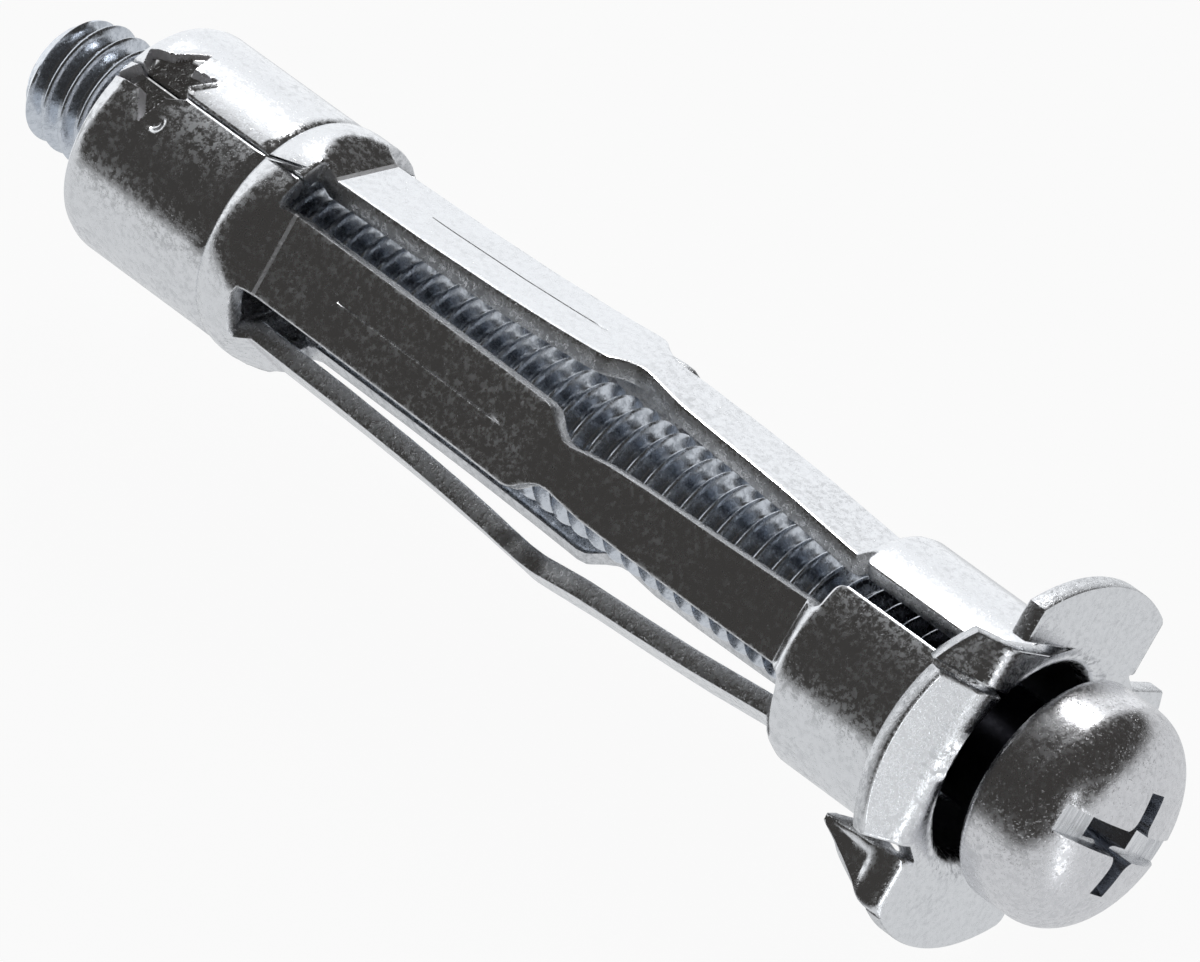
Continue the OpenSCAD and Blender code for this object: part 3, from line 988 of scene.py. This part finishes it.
def buildSleeve():
    rows = len(rowPlaces) - 1
    deselectAll()
    bpy.ops.mesh.primitive_grid_add(x_subdivisions=columnTotal, y_subdivisions=rows, size=1)
    blank = bpy.context.object
    blank.name = "foldedSleeve"
    deselectFaces(blank)
    mesh = blank.data
    for face in mesh.polygons:
        column = (face.center.x + 0.5) * columnTotal
        row = math.floor((face.center.y + 0.5) * rows)
        face.select = punchedOut(column, (rowPlaces[row] + rowPlaces[row + 1]) / 2)
    for vertex in mesh.vertices:
        column = round((vertex.co.x + 0.5) * columnTotal)
        row = round((vertex.co.y + 0.5) * rows)
        vertex.co = sheetPoint(column, rowPlaces[row]) * mm
    bpy.ops.object.mode_set(mode="EDIT")
    bpy.ops.mesh.delete(type="FACE")
    bpy.ops.object.mode_set(mode="OBJECT")
    for material in (sheetFace, sheetEdge, boreShadeFinish, paintedHighlightFinish, paintedShadeStarFloor):
        blank.data.materials.append(material)
    thickened(blank)
    scoreLegs(blank.data)
    roundEdges(blank)
    pressStar(blank)
    shadeFolds(blank.data)
    claws = [buildClaw(0), buildClaw(180)]
    makeOnly(blank)
    for made in claws:
        made.select_set(True)
    bpy.ops.object.join()
    finished(blank, "sleeve_steel", "sleeve", "expansion_sleeve")


buildSleeve()


# The screw: a rolled thread, a domed head and its combined recess
screw = {
    "tip": -54.4,  # lengths in mm, places along X from the wall's face
    "threadEnd": -1.1,
    "pitch": 1.0,
    "crest": 2.92,
    "root": 2.33,
    "tipChamfer": 0.75,
    "shank": 2.62,
    "headBase": 2.0,
    "headRadius": 5.0,
    "headRound": 0.55,
    "sideTop": 3.9,
    "headTop": 6.78,
    "domePower": 2.4,  # 2 is an ellipse, more a flatter top with a tighter edge
    "slotDirection": 130,
    "slotWidth": 1.2,
    "slotDepth": 1.15,
    "armReach": 2.85,
    "armWidth": 1.05,
    "armDepth": 2.9,
    "armFlare": (0.1, 0.03, 0.75),  # added reach, added half-width and corner above the head
    "armFoot": (0.95, 0.14, 0.3),  # reach, lost half-width and corner at the bottom
    "edgeRound": 0.07,
    "edgeAngle": 40,
    "runOut": 0.05,
    "shankLap": 0.2,
    "underFillet": 0.12,
    "threadSteps": 72,
    "headSteps": 128,
    "weld": 0.002,
}


def threadProfile():  # one pitch of the thread, (place, radius) from root to root
    shape = [(0.0, 0), (0.06, 0.03), (0.12, 0.13), (0.2, 0.33), (0.3, 0.62), (0.39, 0.88),
             (0.44, 0.97), (0.5, 1)]
    rise = shape + [(1 - place, level) for place, level in reversed(shape[:-1])]
    depth = screw["crest"] - screw["root"]
    return [(place * screw["pitch"], screw["root"] + level * depth) for place, level in rise]


def wireObject(name, points):  # a chain of edges through points in metres
    bpy.ops.mesh.primitive_plane_add(size=1, location=(0, 0, 0))
    wire = bpy.context.object
    wire.name = name
    bpy.ops.object.mode_set(mode="EDIT")
    bpy.ops.mesh.select_mode(type="VERT")
    bpy.ops.mesh.select_all(action="SELECT")
    bpy.ops.mesh.merge(type="CENTER")
    for start, end in zip(points, points[1:]):
        bpy.ops.mesh.extrude_region_move(TRANSFORM_OT_translate={"value": Vector(end) - Vector(start)})
    bpy.ops.object.mode_set(mode="OBJECT")
    for vertex in wire.data.vertices:
        vertex.co += Vector(points[0])
    return wire


def buildThread():
    profile = threadProfile()
    turns = math.ceil((screw["threadEnd"] - screw["tip"]) / screw["pitch"]) + 2
    start = screw["tip"] - screw["pitch"]
    wire = wireObject("thread", [((start + place) * mm, 0, radius * mm) for place, radius in profile])
    applied(wire, "SCREW", "helix", axis="X", angle=math.tau, screw_offset=screw["pitch"] * mm,
            steps=screw["threadSteps"], render_steps=screw["threadSteps"], iterations=turns,
            use_merge_vertices=True, merge_threshold=screw["weld"] * mm, use_normal_calculate=True,
            use_smooth_shade=True)
    for vertex in wire.data.vertices:  # a chamfered tip, and a run-out into the shank
        radius = math.hypot(vertex.co.y, vertex.co.z)
        fromTip = max(vertex.co.x - screw["tip"] * mm, 0)
        fromEnd = max(screw["threadEnd"] * mm - vertex.co.x, 0)
        limit = min((screw["crest"] - screw["tipChamfer"]) * mm + fromTip,
                    (screw["shank"] - screw["runOut"]) * mm + fromEnd)
        if radius > limit:
            vertex.co.y *= limit / radius
            vertex.co.z *= limit / radius
    makeOnly(wire)
    bpy.ops.object.mode_set(mode="EDIT")
    for place, inner, outer in ((screw["tip"], True, False), (screw["threadEnd"], False, True)):
        bpy.ops.mesh.select_all(action="SELECT")
        bpy.ops.mesh.bisect(plane_co=(place * mm, 0, 0), plane_no=(1, 0, 0), use_fill=True,
                            clear_inner=inner, clear_outer=outer, threshold=0.001 * mm)
    bpy.ops.object.mode_set(mode="OBJECT")
    turnOutwards(wire)
    wire.data.materials.append(threadSteel)
    return wire


def headProfile():  # (place, radius) from under the head round to the middle of its top
    s = screw
    base, corner, start = s["headBase"], s["headRound"], s["threadEnd"] - s["shankLap"]
    points = [(start, 0), (start, s["shank"]), (base - s["underFillet"], s["shank"]),
              (base, s["shank"] + s["underFillet"])]
    for i in range(9):
        a = math.radians(90 * i / 8)
        points.append((base + corner * (1 - math.cos(a)), s["headRadius"] - corner * (1 - math.sin(a))))
    power, rise = 2 / s["domePower"], s["headTop"] - s["sideTop"]
    for i in range(1, 25):
        a = math.radians(90 * i / 24)
        points.append((s["sideTop"] + rise * math.sin(a) ** power,
                       s["headRadius"] * abs(math.cos(a)) ** power))
    points[-1] = (s["headTop"], 0)
    return points


headSlots = {"slot": 1, "shank": 2, "recess": 3}  # places in the head's list of materials


def buildHead():
    wire = wireObject("panHead", [(place * mm, 0, radius * mm) for place, radius in headProfile()])
    applied(wire, "SCREW", "turned", axis="X", angle=math.tau, screw_offset=0,
            steps=screw["headSteps"], render_steps=screw["headSteps"], use_merge_vertices=True,
            merge_threshold=screw["weld"] * mm, use_normal_calculate=True)
    turnOutwards(wire, screw["weld"])
    for material in (headSteel, slotFloor, shankShadeFinish, recessShadeFinish):
        wire.data.materials.append(material)
    # faces under the head take the near-black painted-shade shank finish
    for face in wire.data.polygons:
        if face.center.x < (screw["headBase"] - 0.02) * mm:
            face.material_index = headSlots["shank"]
    return wire


def crossOutline(reach, halfWidth, fillet):  # a cross with rounded inner corners
    quarter = [(reach, -halfWidth), (reach, halfWidth)]
    centre = halfWidth + fillet
    for i in range(7):
        a = math.radians(270 - 90 * i / 6)
        quarter.append((centre + fillet * math.cos(a), centre + fillet * math.sin(a)))
    outline = []
    for turn in range(4):
        outline += quarter
        quarter = [(-lengthwise, across) for across, lengthwise in quarter]
    return outline


def lofted(name, lower, upper, lowerPlace, upperPlace, turn):  # between two outlines across the axis
    deselectAll()
    bpy.ops.mesh.primitive_cylinder_add(vertices=len(lower), radius=1, depth=2)
    cutter = bpy.context.object
    cutter.name = name
    count = len(lower)
    for vertex in cutter.data.vertices:
        number = round(math.degrees(math.atan2(vertex.co.x, vertex.co.y)) / 360 * count) % count
        top = vertex.co.z > 0
        across, lengthwise = (upper if top else lower)[number]
        a = math.radians(turn)
        vertex.co = Vector((upperPlace if top else lowerPlace,
                            across * math.cos(a) - lengthwise * math.sin(a),
                            across * math.sin(a) + lengthwise * math.cos(a))) * mm
    turnOutwards(cutter)
    return cutter


def cutAway(obj, cutter, slot):  # the cut's faces take the material in the slot
    for material in obj.data.materials:
        cutter.data.materials.append(material)
    for face in cutter.data.polygons:
        face.material_index = slot
    applied(obj, "BOOLEAN", "cut", operation="DIFFERENCE", object=cutter, solver="EXACT")
    bpy.data.objects.remove(cutter)


def cutRecess(head):
    s = screw
    top, over = s["headTop"], s["headTop"] + 1
    long, wide = s["headRadius"] + 1, s["slotWidth"] / 2
    box = [(-long, -wide), (-long, wide), (long, wide), (long, -wide)]
    slot = lofted("slotCutter", box, box, top - s["slotDepth"], over, s["slotDirection"])
    cutAway(head, slot, headSlots["slot"])
    reach, width, corner = s["armFlare"]
    upper = crossOutline(s["armReach"] + reach, s["armWidth"] / 2 + width, corner)
    reach, width, corner = s["armFoot"]
    lower = crossOutline(reach, s["armWidth"] / 2 - width, corner)
    # the cross's faces take the dark painted-shade recess finish
    cross = lofted("crossCutter", lower, upper, top - s["armDepth"], over, s["slotDirection"])
    cutAway(head, cross, headSlots["recess"])
    applied(head, "BEVEL", "worn edges", width=s["edgeRound"] * mm, segments=3,
            limit_method="ANGLE", angle_limit=math.radians(s["edgeAngle"]))


def buildScrew():
    thread, head = buildThread(), buildHead()
    cutRecess(head)
    makeOnly(thread)
    head.select_set(True)
    bpy.ops.object.join()
    thread.name = "panHeadScrew"
    finished(thread, "screw_steel", "screw", "machine_screw", smooth=32)


buildScrew()

# The nut is hidden in the collar, so its own solid only takes its finish
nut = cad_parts["threaded_nut"]
nut.data.materials.clear()
nut.data.materials.append(nutSteel)
print("nut ready")
